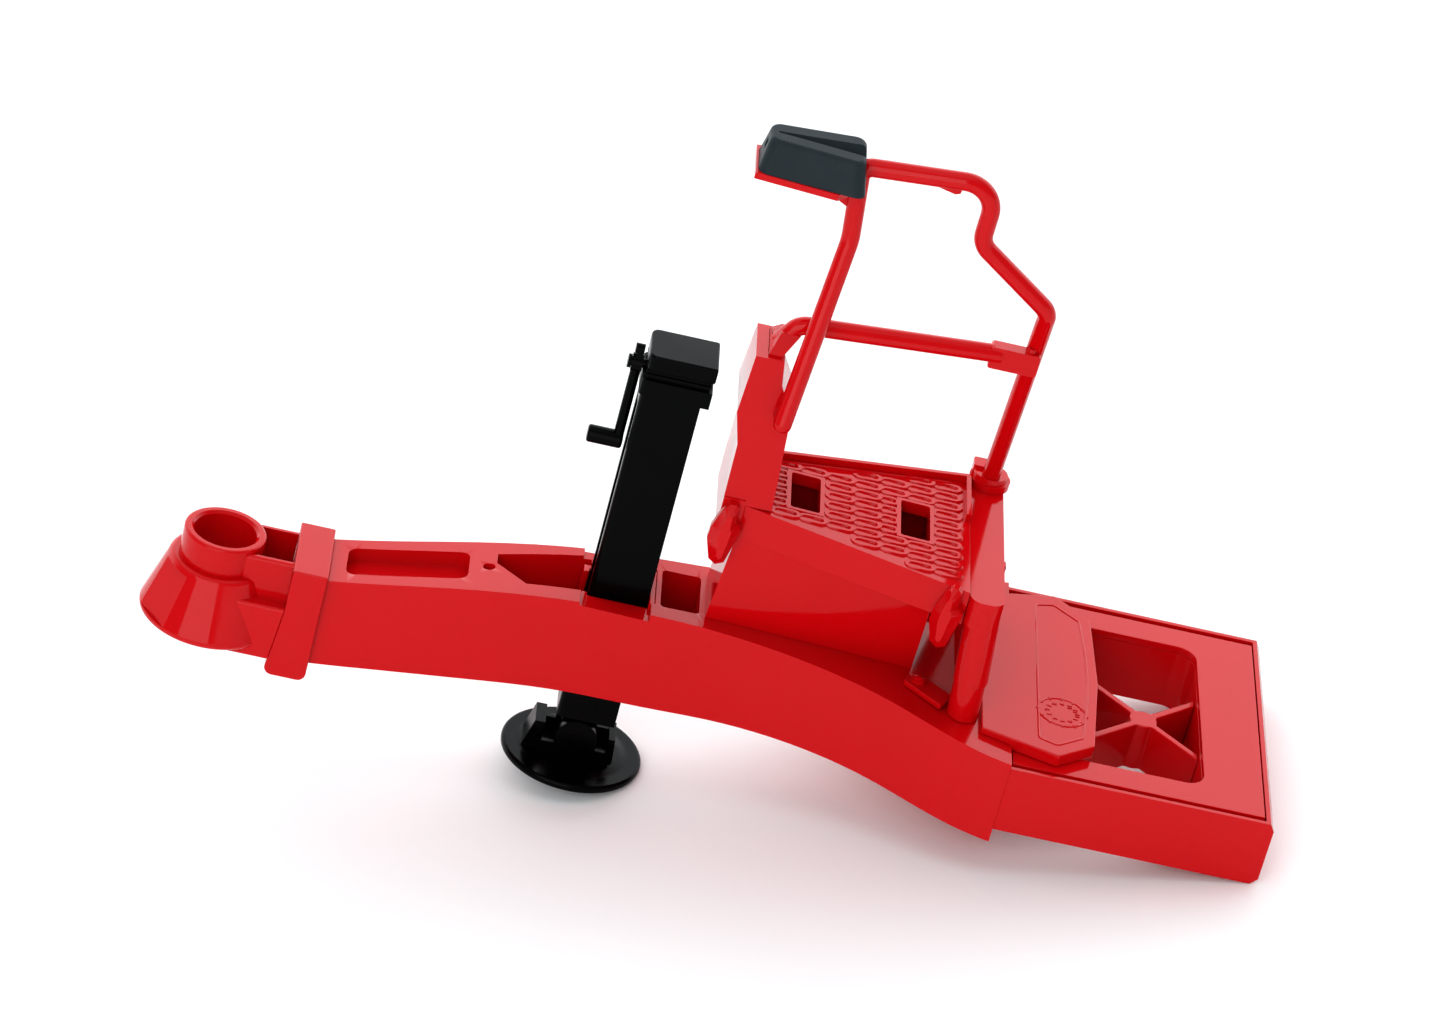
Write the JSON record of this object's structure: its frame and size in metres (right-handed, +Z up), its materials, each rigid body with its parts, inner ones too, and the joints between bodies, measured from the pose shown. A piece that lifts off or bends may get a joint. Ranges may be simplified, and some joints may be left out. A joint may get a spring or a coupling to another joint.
{
  "type": "toy trailer drawbar",
  "caption": "Toy farm trailer drawbar with a hitch eye, a curved beam, a sliding jack with crank and tilting foot, a step deck with handrail, a hose saddle and a windowed rear mounting frame.",
  "frame": {"origin": "middle of the bounding box, on the floor plane the part rests on", "axes": "+X runs from the hitch eye to the rear frame, +Y to the far side, +Z up from the floor. The drawbar's own axes are pitched 11.9 degrees about +Y, nose up, so the part rests on the foot plate and the rear frame."},
  "size_m": [0.2022, 0.0616, 0.13],
  "materials": {
    "red_gloss": "gloss moulded ABS",
    "black_satin": "satin moulded ABS",
    "grey_satin": "satin moulded ABS"
  },
  "bodies": {
    "drawbar": {"hitch_head": "red_gloss", "neck_band": "red_gloss", "beam": "red_gloss", "jack_guide": "red_gloss", "tongue_plate": "red_gloss", "locating_tab": "red_gloss", "rear_frame": "red_gloss", "frame_plate": "red_gloss", "cross_brace": "red_gloss", "step_box": "red_gloss", "deck": "red_gloss", "front_ladder_clip": "red_gloss", "rear_ladder_clip": "red_gloss", "front_panel": "red_gloss", "panel_boss": "red_gloss", "bolster": "red_gloss", "near_post_stub": "red_gloss", "far_post_stub": "red_gloss", "near_base_tab": "red_gloss", "far_base_tab": "red_gloss", "near_base_rivet": "red_gloss", "far_base_rivet": "red_gloss", "rail_collar": "red_gloss", "main_rail": "red_gloss", "mid_rail": "red_gloss", "saddle_plate": "red_gloss", "hose_saddle": "grey_satin"},
    "jack": {"jack_leg": "black_satin", "jack_collar": "black_satin", "jack_cap": "black_satin", "crank_pin": "black_satin", "foot_pin": "black_satin"},
    "crank": {"crank": "black_satin"},
    "foot": {"foot_plate": "black_satin"}
  },
  "joints": [
    {"name": "jack_slide", "type": "slide", "parent": "drawbar", "child": "jack", "axis": [0.2065, 0, 0.9785], "range_m": [-0.026, 0.003]},
    {"name": "crank_spin", "type": "hinge", "parent": "jack", "child": "crank", "pos_m": [-0.01424, 0, 0.0842], "axis": [-0.9785, 0, 0.2065], "continuous": true},
    {"name": "foot_tilt", "type": "hinge", "parent": "jack", "child": "foot", "pos_m": [-0.02277, 0, 0.00842], "axis": [0, 1, 0], "range_deg": [-15, 15]}
  ]
}
